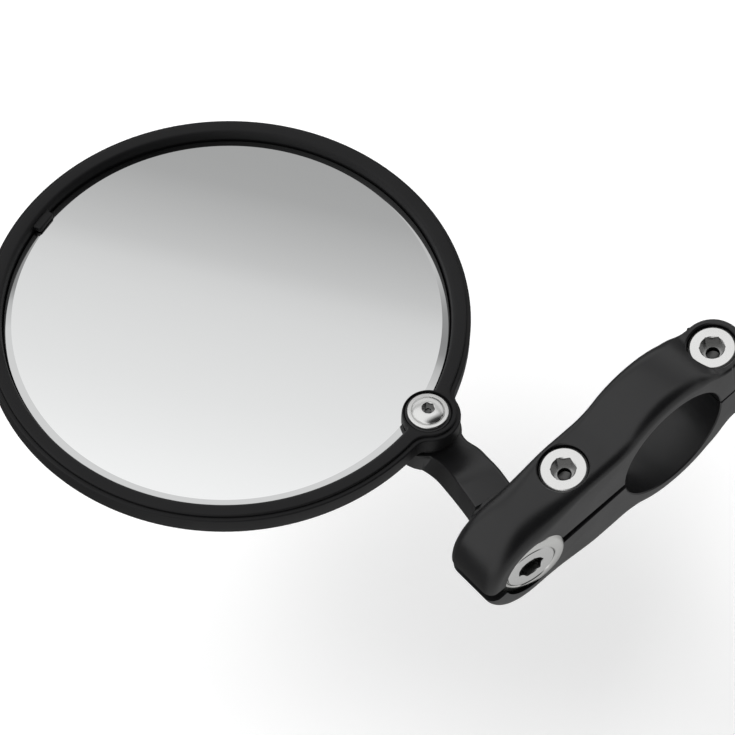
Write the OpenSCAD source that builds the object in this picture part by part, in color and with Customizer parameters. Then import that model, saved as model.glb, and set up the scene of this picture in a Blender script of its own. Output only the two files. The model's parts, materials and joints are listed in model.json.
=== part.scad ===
// Bar-end bicycle mirror: a split clamp grips the handlebar and a ball, and
// the ball carries a short arm with a round mirror head on a friction pivot.
//
// Origin: centre of the handlebar bore.  +Y runs along the handlebar towards
// the mirror, +X runs along the clamp away from the ball, +Z points up, the
// way the clamp bolts' heads and the mirror face.

/* [Clamp] */
// Diameter of the handlebar
bar_d = 22.2; // [20:0.1:26]
// Width of the clamp along the handlebar
clamp_w = 11; // [9:0.1:14]
// Wall of the clamp around the handlebar
bar_wall = 3.7; // [2.5:0.1:6]
// Wall of the clamp above and below the ball
ball_cover = 2.34; // [1.5:0.02:5]
// Radius of the clamp's long edges
shoulder_r = 2.4; // [1:0.1:3]
// Wall between the handlebar and the inner bolt's hole
inner_bolt_wall = 5.45; // [4:0.05:12]
// Wall between the handlebar and the outer bolt's hole
outer_bolt_wall = 0.95; // [0.6:0.05:4]
// Wall between the inner bolt's hole and the ball
ball_wall = 1.39; // [1:0.01:6]
// Height of the round eye that holds the outer bolt
outer_eye_h = 16.8; // [14:0.1:20]
// Wall of the outer eye around its bolt head
outer_eye_wall = 1; // [0.6:0.1:3]
// Gap between the jaws at the outer bolt
gap_outer = 0.25; // [0.1:0.05:1]
// Gap between the jaws at the ball's free end
gap_ball = 2.4; // [0.4:0.05:3]

/* [Clamp bolts] */
// Thread diameter of the clamp bolts
bolt_d = 5; // [4:0.1:6]
// Head diameter of the clamp bolts
bolt_head_d = 8.5; // [7:0.1:9]
// Head height of the clamp bolts
bolt_head_h = 3.5; // [3:0.1:6]
// Hexagon socket of the clamp bolts, across flats
bolt_hex = 4; // [3:0.5:5]
// Depth of the clamp bolts' sockets
bolt_socket = 2.2; // [1.5:0.1:3]
// Diameter of the pilot hole below the clamp bolts' sockets
bolt_pilot_d = 2.5; // [1.5:0.1:3]
// How far a bolt's head lies below the surface around it
bolt_sink = 0.4; // [0:0.1:2]
// Distance that a bolt's tip stays above the clamp's lower surface
bolt_tip_cover = 1.5; // [0.5:0.1:4]

/* [Ball] */
// Diameter of the ball
ball_d = 17; // [15:0.1:18]
// Diameter of the screw head in the ball, as a share of the ball's flat face
ball_head_share = 0.731; // [0.6:0.001:0.85]
// Height of the screw head in the ball
ball_head_h = 3.4; // [3:0.1:4]
// Hexagon socket of the ball's screw, across flats
ball_hex = 4.5; // [3:0.5:5]
// Depth of the ball screw's socket
ball_socket = 2.2; // [1.5:0.1:3]
// Thread diameter of the ball's screw
ball_screw_d = 4; // [3:0.1:6]
// Thickness of the lock washer behind the ball
lock_washer_t = 0.8; // [0.5:0.1:1.5]

/* [Arm] */
// From the ball's centre to the mirror head's pivot
arm_reach = 26.8; // [24:0.1:40]
// Width of the arm
arm_w = 7.9; // [7:0.1:10]
// Thickness of the arm at its eye
arm_t = 4.6; // [4:0.1:6]
// How far the arm bows to one side
arm_bow = 1.4; // [0:0.1:3]
// Radius of the eye at the arm's end
arm_eye_r = 6.1; // [5:0.1:8]
// Radius of the round neck at the ball
neck_r = 3.4; // [3:0.1:4.4]
// Height of the eye's flat top above the ball's centre
arm_top = 0.5; // [0:0.1:2]
// Height of the arm's top next to the ball, above the ball's centre
arm_ball_top = 3.2; // [0.5:0.1:4]

/* [Mirror head] */
// Outer diameter of the mirror head
head_d = 85.5; // [75:0.5:110]
// Thickness of the glass
glass_t = 1.9; // [1.5:0.1:3]
// How far the pivot lies inside the head's edge
pivot_inset = 2.15; // [1:0.05:6]
// Width of the back shell's lip around the front ring
lip_w = 0.75; // [0.5:0.05:2]
// Height of the front ring's flat band above the ball's centre
band_top = 5.8; // [5:0.1:8]
// Width of the front ring's flat band
band_w = 1.8; // [1:0.1:3]
// Depth of the glass's surface below the band
glass_sink = 1.8; // [1:0.1:3]
// Depth of the domed back below its flat rim
dome_h = 5.1; // [3:0.1:10]
// Wall of the back shell
shell_wall = 1.2; // [0.8:0.1:2]
// Wall of the front ring's boss around the screw's recess
boss_wall = 0.6; // [0.4:0.05:2]
// Width of the tab that holds the glass opposite the pivot
tab_w = 4; // [2:0.1:8]
// How far the tab reaches over the glass
tab_reach = 1.4; // [0.5:0.1:3]

/* [Head pivot] */
// Thread diameter of the pivot screw
pivot_d = 3; // [2.5:0.1:4]
// Flange diameter of the pivot screw's head
pivot_flange_d = 7.2; // [6:0.1:8]
// Hexagon socket of the pivot screw, across flats
pivot_hex = 2; // [1.5:0.5:2.5]
// Outer radius of the pivot bush
bush_r = 2.4; // [2:0.1:3]
// Thickness of the washer under the screw's flange
top_washer_t = 0.5; // [0.3:0.1:1]
// Thickness of the friction washer between arm and head
friction_washer_t = 0.4; // [0.2:0.1:1]
// Nut size across flats
nut_af = 5.5; // [5:0.1:7]
// Height of the nut with its insert
nut_h = 4; // [3:0.1:5]
// Depth of the nut's pocket in the arm
nut_pocket = 2.2; // [1:0.1:3]

/* [Pose] */
// Turn of the arm about the upright axis through the ball
rest_pan = -8.1; // [-15:0.1:15]
// Turn of the arm about its own length
rest_spin = 11; // [-180:0.1:180]
// Turn of the mirror head on the arm
rest_swivel = 26.9; // [-50:0.1:50]

/* [Hidden] */
$fn = 96;
// Clearances: running fits, parts that merely pass, bolt heads, and faces that slide
run_gap = 0.06;
pass_gap = 0.25;
head_gap = 0.15;
face_gap = 0.05;
eps = 0.01;
BLACK = "#1d1e20";
DARK = "#26282a";
STEEL = "#c9ccce";
// Clamp
bar_r = bar_d / 2;
drum_r = bar_r + bar_wall;
half_w = clamp_w / 2;
bolt_r = bolt_d / 2;
bolt_head_r = bolt_head_d / 2;
counterbore_r = bolt_head_r + head_gap;
eye_r = counterbore_r + outer_eye_wall;
eye_half_h = outer_eye_h / 2;
ball_r = ball_d / 2;
seat_r = ball_r + run_gap;
half_h = seat_r + ball_cover;
end_r = half_h + 0.1;
end_shift = 1;
bolt_hole_r = bolt_r + pass_gap;
bolt_pilot_depth = 2;
outer_bolt_reach = bar_r + outer_bolt_wall + bolt_hole_r;
inner_bolt_reach = bar_r + inner_bolt_wall + bolt_hole_r;
ball_reach = inner_bolt_reach + bolt_hole_r + ball_wall + seat_r;
inner_seat = half_h - bolt_sink - bolt_head_h;
outer_seat = eye_half_h - bolt_sink - bolt_head_h;
inner_tip = -half_h + bolt_tip_cover;
outer_tip = -eye_half_h + bolt_tip_cover;
// Ball
ball_face = half_w - 0.1;
ball_screw_r = ball_screw_d / 2;
ball_head_r = sqrt(ball_r * ball_r - ball_face * ball_face) * ball_head_share;
ball_bore_r = ball_screw_r + run_gap;
neck_start = ball_face + face_gap + lock_washer_t;
neck_end = neck_start + 2;
ball_screw_tip = neck_start + 6.2;
// Arm
arm_bottom = arm_top - arm_t;
arm_flat_start = neck_start + 1.6;
ramp_end = arm_reach - 4.8;
ramp_start = ramp_end - 10;
// Mirror head, in heights above the ball's centre
head_bottom = arm_top + friction_washer_t + face_gap;
glass_top = band_top - glass_sink;
glass_bottom = glass_top - glass_t;
adhesive_t = 0.2;
ledge_top = glass_bottom - adhesive_t;
head_r = head_d / 2;
head_reach = head_r - pivot_inset;
lip_gap = 0.05;
band_chamfer = 0.8;
ring_r = head_r - lip_w - lip_gap;
recess_r = ring_r - band_w - band_chamfer;
glass_r = recess_r - 0.3;
lip_top = band_top - 0.6;
ring_seat = glass_bottom + 0.3;
dome_r = head_reach - arm_eye_r;
dome_curve = (dome_r * dome_r + dome_h * dome_h) / (2 * dome_h);
// Head pivot
pivot_r = pivot_d / 2;
pivot_flange_r = pivot_flange_d / 2;
pivot_dome_r = pivot_flange_r - 0.75;
pivot_flange_t = 0.55;
pivot_dome_h = 1.1;
pivot_washer_r = pivot_flange_r + 0.4;
pivot_hole_r = pivot_r + run_gap;
boss_shift = 0.25;
pivot_recess_r = pivot_washer_r + 0.15;
ring_boss_r = pivot_recess_r + boss_wall;
boss_r = ring_boss_r + lip_w;
ring_neck_r = ring_boss_r - 0.5;
pivot_recess_floor = band_top - 0.85;
bush_top = pivot_recess_floor + face_gap;
notch_gap = 0.25;
screw_seat = bush_top + top_washer_t;
nut_floor = arm_bottom + nut_pocket;
insert_h = 1.3;
insert_r = nut_af / 2 - 0.35;

// Gap between the jaws at a place along the clamp, in a straight taper
function gap_at(x) = gap_outer
    + (gap_ball - gap_outer) * (outer_bolt_reach - x) / (outer_bolt_reach + ball_reach + end_r);
// Sideways place of the arm's middle: a smooth bow that is zero at both ends
function bow_at(y) = arm_bow * pow(sin(180 * pow(max(0, min(1, y / arm_reach)), 0.8)), 1.2);
// Points of an arc about (cx, cy) from angle a0 to a1
function arc(cx, cy, r, a0, a1, n = 12) =
    [for (i = [0 : n]) let (a = a0 + (a1 - a0) * i / n) [cx + r * cos(a), cy + r * sin(a)]];
// Corner radius of a hexagon that measures af across its flats
function hex_r(af) = af / 2 / cos(30);

// Turns an upright shape so that its axis lies along the handlebar
module along_bar() {
    rotate([-90, 0, 0]) children();
}

// Places shapes of the arm: ball at the origin, arm along +Y, mirror upwards
module at_arm() {
    translate([-ball_reach, 0, 0]) rotate([0, 0, rest_pan]) rotate([0, rest_spin, 0]) children();
}

// Places shapes of the ball, which doesn't take part in the arm's spin
module at_ball() {
    translate([-ball_reach, 0, 0]) rotate([0, 0, rest_pan]) children();
}

// Places shapes at the head's pivot, turned with the arm
module at_pivot() {
    at_arm() translate([0, arm_reach, 0]) children();
}

// Places shapes of the mirror head: pivot at the origin, glass towards +Y
module at_head() {
    at_pivot() rotate([0, 0, rest_swivel]) children();
}

// Ring between two radii and two heights
module ring(r_in, r_out, z0, z1) {
    translate([0, 0, z0]) difference() {
        cylinder(r = r_out, h = z1 - z0);
        translate([0, 0, -1]) cylinder(r = r_in, h = z1 - z0 + 2);
    }
}

// Drum about the handlebar's direction with rounded edges
module drum(r) {
    along_bar() rotate_extrude() polygon(concat(
        [[0, -half_w]],
        arc(r - shoulder_r, -half_w + shoulder_r, shoulder_r, -90, 0),
        arc(r - shoulder_r, half_w - shoulder_r, shoulder_r, 0, 90),
        [[0, half_w]]));
}

// Straight beam between the ball and the outer bolt with rounded long edges
module beam() {
    c = half_w - shoulder_r;
    z = half_h - shoulder_r;
    translate([end_shift - ball_reach, 0, 0]) rotate([90, 0, 90])
        linear_extrude(ball_reach - end_shift + outer_bolt_reach - 4) polygon(concat(
            arc(c, z, shoulder_r, 0, 90),
            arc(-c, z, shoulder_r, 90, 180),
            arc(-c, -z, shoulder_r, 180, 270),
            arc(c, -z, shoulder_r, 270, 360)));
}

// Outer shape of the closed clamp, before it is split
module clamp_block() {
    drum(drum_r);
    translate([end_shift - ball_reach, 0, 0]) drum(end_r);
    beam();
    translate([outer_bolt_reach, 0, -eye_half_h]) cylinder(r = eye_r, h = outer_eye_h);
}

// Room for a bolt: head pocket, passing hole above the split, thread below
module bolt_hole(x, seat_z, top_z, bottom_z) {
    translate([x, 0, 0]) {
        translate([0, 0, seat_z]) cylinder(r = counterbore_r, h = top_z - seat_z + 6);
        translate([0, 0, -eps]) cylinder(r = bolt_hole_r, h = seat_z + 2 * eps);
        translate([0, 0, bottom_z - 0.6]) cylinder(r = bolt_r + run_gap, h = 0.6 - bottom_z);
    }
}

// Everything that is cut out of both jaws
module clamp_cuts() {
    along_bar() translate([0, 0, -clamp_w]) cylinder(r = bar_r, h = 2 * clamp_w);
    translate([-ball_reach, 0, 0]) sphere(r = seat_r);
    bolt_hole(-inner_bolt_reach, inner_seat, half_h, inner_tip);
    bolt_hole(outer_bolt_reach, outer_seat, eye_half_h, outer_tip);
}

// Region above the split (side 1) or below it (side -1)
module jaw_region(side) {
    x0 = -ball_reach - end_r - 5;
    x1 = outer_bolt_reach + eye_r + 5;
    far = side * (drum_r + 5);
    translate([0, clamp_w, 0]) rotate([90, 0, 0]) linear_extrude(2 * clamp_w) polygon([
        [x0, side * gap_at(x0) / 2], [x1, side * gap_at(x1) / 2], [x1, far], [x0, far]]);
}

module jaw(side) {
    intersection() {
        difference() {
            clamp_block();
            clamp_cuts();
        }
        jaw_region(side);
    }
}

module upper_jaw() {
    color(BLACK) jaw(1);
}

module lower_jaw() {
    color(BLACK) jaw(-1);
}

// Socket-head bolt with its head's underside at seat_z and its tip at tip_z
module clamp_bolt(x, seat_z, tip_z) {
    color(STEEL) translate([x, 0, 0]) difference() {
        union() {
            translate([0, 0, seat_z]) cylinder(r = bolt_head_r, h = bolt_head_h);
            translate([0, 0, tip_z]) cylinder(r = bolt_r, h = seat_z - tip_z + eps);
        }
        translate([0, 0, seat_z + bolt_head_h - bolt_socket])
            cylinder(r = hex_r(bolt_hex), h = bolt_socket + 1, $fn = 6);
        translate([0, 0, seat_z + bolt_head_h - bolt_socket - bolt_pilot_depth])
            cylinder(r = bolt_pilot_d / 2, h = bolt_pilot_depth + 1);
    }
}

module inner_clamp_bolt() {
    clamp_bolt(-inner_bolt_reach, inner_seat, inner_tip);
}

module outer_clamp_bolt() {
    clamp_bolt(outer_bolt_reach, outer_seat, outer_tip);
}

module pivot_ball() {
    color(STEEL) at_ball() along_bar() difference() {
        intersection() {
            sphere(r = ball_r);
            translate([0, 0, -ball_face]) cylinder(r = ball_r, h = 2 * ball_face);
        }
        translate([0, 0, -ball_r]) cylinder(r = ball_bore_r, h = ball_d);
        translate([0, 0, -ball_face - 1])
            cylinder(r = ball_head_r + run_gap, h = ball_head_h + face_gap + 1);
    }
}

module ball_screw() {
    color(STEEL) at_arm() along_bar() difference() {
        union() {
            translate([0, 0, -ball_face]) cylinder(r = ball_head_r, h = ball_head_h);
            translate([0, 0, -ball_face])
                cylinder(r = ball_screw_r, h = ball_face + ball_screw_tip);
        }
        translate([0, 0, -ball_face - 1]) rotate([0, 0, 10])
            cylinder(r = hex_r(ball_hex), h = ball_socket + 1, $fn = 6);
    }
}

module lock_washer() {
    color(STEEL) at_arm() along_bar()
        ring(ball_screw_r + 0.1, neck_r - 0.2, ball_face + face_gap, neck_start);
}

// Plan of the arm's flat part: a bowed bar that ends at the eye's centre
module arm_plan() {
    steps = 14;
    ys = [for (i = [0 : steps]) arm_flat_start + (arm_reach - arm_flat_start) * i / steps];
    polygon(concat(
        [for (y = ys) [bow_at(y) + arm_w / 2, y]],
        [for (i = [steps : -1 : 0]) [bow_at(ys[i]) - arm_w / 2, ys[i]]]));
}

// Side view of the arm: thick at the ball, with a smooth step down to the eye
module arm_side() {
    steps = 10;
    far = arm_reach + 2 * arm_eye_r;
    rise = arm_ball_top - arm_top;
    polygon(concat(
        [[arm_flat_start, arm_bottom], [far, arm_bottom], [far, arm_top]],
        [for (i = [0 : steps]) let (a = 180 * i / steps)
            [ramp_end + (ramp_start - ramp_end) * i / steps, arm_top + rise * (1 - cos(a)) / 2]],
        [[arm_flat_start, arm_ball_top]]));
}

module arm() {
    color(BLACK) at_arm() difference() {
        union() {
            intersection() {
                translate([0, 0, arm_bottom]) linear_extrude(arm_ball_top - arm_bottom) arm_plan();
                translate([-arm_w, 0, 0]) rotate([90, 0, 90]) linear_extrude(2 * arm_w) arm_side();
            }
            translate([0, arm_reach, arm_bottom]) cylinder(r = arm_eye_r, h = arm_t);
            along_bar() translate([0, 0, neck_start]) cylinder(r = neck_r, h = neck_end - neck_start);
        }
        along_bar() translate([0, 0, neck_start - 1])
            cylinder(r = ball_screw_r + run_gap, h = ball_screw_tip - neck_start + 1.5);
        translate([0, arm_reach, 0]) {
            translate([0, 0, arm_bottom - 1]) cylinder(r = pivot_hole_r, h = arm_t + 2);
            translate([0, 0, arm_bottom - 1])
                cylinder(r = hex_r(nut_af + 2 * run_gap), h = nut_pocket + 1, $fn = 6);
        }
    }
}

module pivot_screw() {
    tip = nut_floor - nut_h - 0.4;
    color(STEEL) at_pivot() difference() {
        union() {
            translate([0, 0, tip]) cylinder(r = pivot_r, h = screw_seat - tip + eps);
            translate([0, 0, screw_seat]) cylinder(r = pivot_flange_r, h = pivot_flange_t);
            translate([0, 0, screw_seat + pivot_flange_t - eps]) rotate_extrude() polygon(concat(
                [[0, 0], [pivot_dome_r, 0]],
                [for (a = [15 : 15 : 60]) [pivot_dome_r * cos(a), pivot_dome_h * sin(a)]],
                [[0, pivot_dome_h * sin(60)]]));
        }
        translate([0, 0, screw_seat]) cylinder(r = hex_r(pivot_hex), h = 3, $fn = 6);
    }
}

module pivot_washer() {
    color(DARK) at_pivot() ring(pivot_hole_r, pivot_washer_r, bush_top, screw_seat);
}

module pivot_bush() {
    color("#3a3a36") at_pivot() ring(pivot_hole_r, bush_r, arm_top, bush_top);
}

module friction_washer() {
    color(DARK) at_pivot()
        ring(bush_r + 0.1, arm_eye_r - 1, arm_top, arm_top + friction_washer_t);
}

module lock_nut() {
    color(STEEL) at_pivot() difference() {
        translate([0, 0, nut_floor - nut_h])
            cylinder(r = hex_r(nut_af), h = nut_h, $fn = 6);
        translate([0, 0, nut_floor - nut_h - 1]) cylinder(r = pivot_hole_r, h = nut_h + 2);
        translate([0, 0, nut_floor - nut_h - 1]) cylinder(r = insert_r, h = insert_h + 1);
    }
}

module lock_nut_insert() {
    color("#dfe3e6") at_pivot()
        ring(pivot_hole_r, insert_r, nut_floor - nut_h, nut_floor - nut_h + insert_h);
}

// Stands a shape on the glass's centre
module at_glass() {
    translate([0, head_reach, 0]) children();
}

// Outer outline of the back shell, turned about the glass's centre
module shell_profile() {
    corner = 1.2;
    a_end = asin(dome_r / dome_curve);
    z_c = head_bottom - dome_h + dome_curve;
    polygon(concat(
        [for (i = [0 : 10]) let (a = a_end * i / 10) [dome_curve * sin(a), z_c - dome_curve * cos(a)]],
        arc(head_r - corner, head_bottom + corner, corner, -90, 0, 6),
        [[head_r, lip_top - 0.3], [head_r - 0.3, lip_top], [0, lip_top]]));
}

// Hollow of the back shell below the glass's ledge
module shell_hollow_profile() {
    r_in = dome_r - shell_wall;
    curve = dome_curve - shell_wall;
    a_end = asin(r_in / curve);
    z_c = head_bottom - dome_h + dome_curve;
    polygon(concat(
        [for (i = [0 : 10]) let (a = a_end * i / 10) [curve * sin(a), z_c - curve * cos(a)]],
        [[r_in, ledge_top + 1], [0, ledge_top + 1]]));
}

module back_shell() {
    color(BLACK) at_head() difference() {
        union() {
            at_glass() rotate_extrude() shell_profile();
            translate([0, -boss_shift, head_bottom]) cylinder(r = boss_r, h = lip_top - head_bottom);
        }
        // glass recess, and the step that takes the front ring around it
        difference() {
            union() {
                at_glass() translate([0, 0, ledge_top]) cylinder(r = recess_r, h = 9);
                at_glass() translate([0, 0, ring_seat]) cylinder(r = ring_r + lip_gap, h = 9);
                translate([0, -boss_shift, ring_seat]) cylinder(r = ring_boss_r + lip_gap, h = 9);
            }
            translate([0, -boss_shift, head_bottom])
                cylinder(r = ring_neck_r, h = ring_seat - head_bottom);
        }
        at_glass() rotate_extrude() shell_hollow_profile();
        translate([0, 0, head_bottom - 1]) cylinder(r = bush_r + run_gap, h = 12);
    }
}

module front_ring() {
    color(DARK) at_head() difference() {
        union() {
            at_glass() rotate_extrude() polygon([
                [recess_r, ring_seat], [recess_r, band_top - band_chamfer],
                [recess_r + band_chamfer, band_top], [ring_r, band_top], [ring_r, ring_seat]]);
            translate([0, -boss_shift, ring_seat]) cylinder(r = ring_neck_r, h = band_top - ring_seat);
            translate([0, -boss_shift, glass_top + face_gap])
                cylinder(r = ring_boss_r, h = band_top - glass_top - face_gap);
            at_glass() intersection() {
                translate([-tab_w / 2, recess_r - tab_reach, glass_top + face_gap])
                    cube([tab_w, tab_reach + 1, glass_sink - band_chamfer]);
                cylinder(r = recess_r + 1, h = band_top);
            }
        }
        translate([0, 0, ring_seat - 1]) cylinder(r = bush_r + run_gap, h = 9);
        translate([0, 0, pivot_recess_floor]) cylinder(r = pivot_recess_r, h = 3);
    }
}

module adhesive_ring() {
    color("#2b2b2b") at_head() difference() {
        at_glass() ring(dome_r - shell_wall + 0.3, glass_r - 0.2, ledge_top, glass_bottom);
        translate([0, -boss_shift, ledge_top - 1]) cylinder(r = ring_neck_r + notch_gap, h = 3);
    }
}

module mirror_glass() {
    color("#b9c2c8") at_head() difference() {
        at_glass() rotate_extrude() polygon([
            [0, glass_bottom], [glass_r, glass_bottom], [glass_r, glass_top - 0.5],
            [glass_r - 1.3, glass_top], [0, glass_top]]);
        translate([0, -boss_shift, glass_bottom - 1])
            cylinder(r = ring_neck_r + notch_gap, h = glass_t + 2);
    }
}

upper_jaw();
lower_jaw();
inner_clamp_bolt();
outer_clamp_bolt();
pivot_ball();
arm();
ball_screw();
lock_washer();
pivot_screw();
pivot_washer();
pivot_bush();
friction_washer();
lock_nut();
lock_nut_insert();
back_shell();
front_ring();
adhesive_ring();
mirror_glass();
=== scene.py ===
"""Bar-end bicycle mirror: finished surfaces, materials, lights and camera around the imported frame."""
import json
import math

import bmesh
import bpy
from bpy.props import FloatProperty, FloatVectorProperty, PointerProperty
from mathutils import Matrix, Vector


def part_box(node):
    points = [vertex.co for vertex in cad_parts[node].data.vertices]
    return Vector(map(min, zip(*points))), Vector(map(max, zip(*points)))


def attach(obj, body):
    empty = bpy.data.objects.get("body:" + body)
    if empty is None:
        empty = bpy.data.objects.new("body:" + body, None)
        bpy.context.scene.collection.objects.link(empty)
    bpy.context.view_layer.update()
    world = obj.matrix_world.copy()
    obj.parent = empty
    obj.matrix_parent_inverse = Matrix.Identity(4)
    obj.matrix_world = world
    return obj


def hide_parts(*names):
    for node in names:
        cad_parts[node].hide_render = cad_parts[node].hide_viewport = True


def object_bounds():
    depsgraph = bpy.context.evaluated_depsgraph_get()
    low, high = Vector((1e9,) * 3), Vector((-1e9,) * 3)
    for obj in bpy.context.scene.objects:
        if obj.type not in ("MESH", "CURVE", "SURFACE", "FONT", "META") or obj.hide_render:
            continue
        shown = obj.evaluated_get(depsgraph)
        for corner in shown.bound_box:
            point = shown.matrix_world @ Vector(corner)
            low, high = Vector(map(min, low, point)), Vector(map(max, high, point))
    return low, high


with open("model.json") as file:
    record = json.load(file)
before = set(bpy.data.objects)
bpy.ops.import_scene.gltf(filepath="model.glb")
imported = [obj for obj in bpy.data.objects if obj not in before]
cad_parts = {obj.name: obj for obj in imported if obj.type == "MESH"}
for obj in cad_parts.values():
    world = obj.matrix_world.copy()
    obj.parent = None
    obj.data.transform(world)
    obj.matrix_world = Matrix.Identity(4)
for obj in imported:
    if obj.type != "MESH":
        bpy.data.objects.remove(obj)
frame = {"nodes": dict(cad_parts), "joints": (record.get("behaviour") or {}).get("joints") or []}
cad_low, cad_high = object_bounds()

bl_info = {
    "name": "Bar-end Mirror",
    "version": (1, 0, 0),
    "blender": (4, 5, 0),
    "location": "3D View > Sidebar > Bar-end Mirror",
    "description": "Builds a bar-end bicycle mirror around its frame, with its stage and camera",
    "category": "Object",
}

MM = 0.001
FULL_TURN = 2 * math.pi
ROUND_STEPS = 96
EDGE_STEPS = 5
SHARP_ANGLE = math.radians(32)


# ---------------------------------------------------------------- places taken from the frame

def joint(name):
    """The frame's joint of that name."""
    return next(j for j in frame["joints"] if j["name"] == name)


def axes_at(origin, x, y, z):
    """Matrix that takes millimetres in a piece's own axes to metres in the frame."""
    turn = Matrix((x, y, z)).transposed().to_4x4()
    return Matrix.Translation(origin) @ turn @ Matrix.Scale(MM, 4)


def local_places():
    """Matrices of the clamp, the ball, the arm and the mirror head."""
    ball = Vector(joint("ball_tilt")["pos_m"])
    along = Vector(joint("arm_spin")["axis"]).normalized()
    tilt = Vector(joint("ball_tilt")["axis"]).normalized()
    pivot = Vector(joint("head_swivel")["pos_m"])
    up = Vector(joint("head_swivel")["axis"]).normalized()
    low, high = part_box("mirror_glass")
    to_glass = (Vector(low) + Vector(high)) / 2 - pivot
    to_glass = (to_glass - to_glass.dot(up) * up).normalized()
    return {
        "clamp": Matrix.Scale(MM, 4),
        "ball": axes_at(ball, tilt, along, tilt.cross(along)),
        "arm": axes_at(ball, along.cross(up), along, up),
        "head": axes_at(pivot, to_glass.cross(up), to_glass, up),
    }


# Sizes that several pieces share, mm
RUN_GAP = 0.06
FACE_GAP = 0.05
BOLT_R = 2.5
TIP_COVER = 1.5
BALL_R = 8.5
BALL_FACE = 5.4
BALL_SCREW_R = 2.0
BALL_SCREW_TIP = 12.4
NECK_START = 6.25
NECK_LENGTH = 2.0
PIVOT_R = 1.5
BUSH_R = 2.4
NUT_ACROSS = 5.5
NUT_H = 4.0
NUT_POCKET = 2.2
RECESS_DEPTH = 0.85

BODIES = {"clamp": "clamp", "ball": "ball", "arm": "arm", "head": "mirror_head"}
PLACES = local_places()
BALL_REACH = -joint("ball_tilt")["pos_m"][0] / MM
ARM_REACH = (Vector(joint("head_swivel")["pos_m"]) - Vector(joint("ball_tilt")["pos_m"])).length / MM


# ---------------------------------------------------------------- settings a user would change

def mm_prop(name, description, default):
    """A length in millimetres."""
    return FloatProperty(name=name, description=description, default=default, min=0.0)


class ClampSizes(bpy.types.PropertyGroup):
    """Sizes of the split clamp and its screws."""
    width: mm_prop("Width", "Width along the handlebar, mm", 11.0)
    bore_r: mm_prop("Bore radius", "Radius of the handlebar bore, mm", 11.1)
    drum_r: mm_prop("Drum radius", "Outer radius around the bore, mm", 14.8)
    half_h: mm_prop("Half height", "Half of the height where the clamp is straight, mm", 10.9)
    end_r: mm_prop("End radius", "Outer radius around the ball, mm", 11.0)
    end_shift: mm_prop("End shift", "How far the round end's centre lies inside the ball's centre, mm", 1.0)
    eye_r: mm_prop("Eye radius", "Outer radius around the outer screw, mm", 5.5)
    eye_half_h: mm_prop("Eye half height", "Half of the outer eye's height, mm", 8.4)
    inner_x: mm_prop("Inner screw", "From the bore's centre to the inner screw, mm", 19.3)
    outer_x: mm_prop("Outer screw", "From the bore's centre to the outer screw, mm", 14.8)
    gap_outer: mm_prop("Gap at the outer screw", "Gap between the jaws at the outer screw, mm", 0.25)
    gap_ball: mm_prop("Gap at the ball end", "Gap between the jaws at the free end, mm", 2.4)
    head_r: mm_prop("Screw head radius", "Radius of the clamp screws' heads, mm", 4.25)
    head_h: mm_prop("Screw head height", "Height of the clamp screws' heads, mm", 3.5)
    sink: mm_prop("Sink", "Depth of the heads below the surface around them, mm", 0.4)


class ArmSizes(bpy.types.PropertyGroup):
    """Sizes of the arm."""
    width: mm_prop("Width", "Width of the arm, mm", 7.9)
    thickness: mm_prop("Thickness", "Thickness of the arm, mm", 4.6)
    top: mm_prop("Eye top", "Height of the eye's flat top above the ball's centre, mm", 0.5)
    ball_top: mm_prop("Ball end top", "Height of the arm's top next to the ball, mm", 3.2)
    bow: mm_prop("Bow", "How far the arm bows to one side, mm", 1.4)
    eye_r: mm_prop("Eye radius", "Radius of the eye at the pivot, mm", 6.1)
    neck_r: mm_prop("Neck radius", "Radius of the round neck at the ball, mm", 3.4)


class HeadSizes(bpy.types.PropertyGroup):
    """Sizes of the mirror head."""
    outer_r: mm_prop("Outer radius", "Outer radius of the head, mm", 42.75)
    reach: mm_prop("Reach", "From the pivot to the glass's centre, mm", 40.6)
    band_top: mm_prop("Band height", "Height of the front ring's band above the ball's centre, mm", 5.8)
    glass_r: mm_prop("Glass radius", "Radius of the glass, mm", 39.05)
    glass_t: mm_prop("Glass thickness", "Thickness of the glass, mm", 1.9)
    glass_sink: mm_prop("Glass depth", "Depth of the glass below the band, mm", 1.8)
    bottom: mm_prop("Flat back", "Height of the flat back above the ball's centre, mm", 0.95)
    dome_h: mm_prop("Dome", "Depth of the domed back, mm", 5.1)
    boss_r: mm_prop("Boss radius", "Radius of the pivot boss, mm", 5.5)


def colour_prop(name, description, default):
    """A colour that a user may change."""
    return FloatVectorProperty(name=name, description=description, default=default,
                               subtype="COLOR", size=3, min=0.0, max=1.0)


def linear(hex_colour):
    """sRGB hex text as linear RGB."""
    values = [int(hex_colour[i:i + 2], 16) / 255 for i in (1, 3, 5)]
    return tuple(v / 12.92 if v <= 0.04045 else ((v + 0.055) / 1.055) ** 2.4 for v in values)


class Colours(bpy.types.PropertyGroup):
    """Colours of the finishes."""
    anodised: colour_prop("Anodised black", "Clamp and arm", linear("#121213"))
    nylon: colour_prop("Black nylon", "Back shell and front ring", linear("#111112"))
    steel: colour_prop("Screw steel", "Screws, washer and nut", linear("#e4e4e3"))
    ball: colour_prop("Ball steel", "Pivot ball", linear("#e2e2e0"))
    silver: colour_prop("Mirror silver", "Reflecting coat of the glass", linear("#f2f3f3"))


# ---------------------------------------------------------------- mesh tools

def arc(cx, cy, radius, start, end, steps):
    """Points of an arc, angles in radians."""
    return [(cx + radius * math.cos(start + (end - start) * i / steps),
             cy + radius * math.sin(start + (end - start) * i / steps)) for i in range(steps + 1)]


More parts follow.
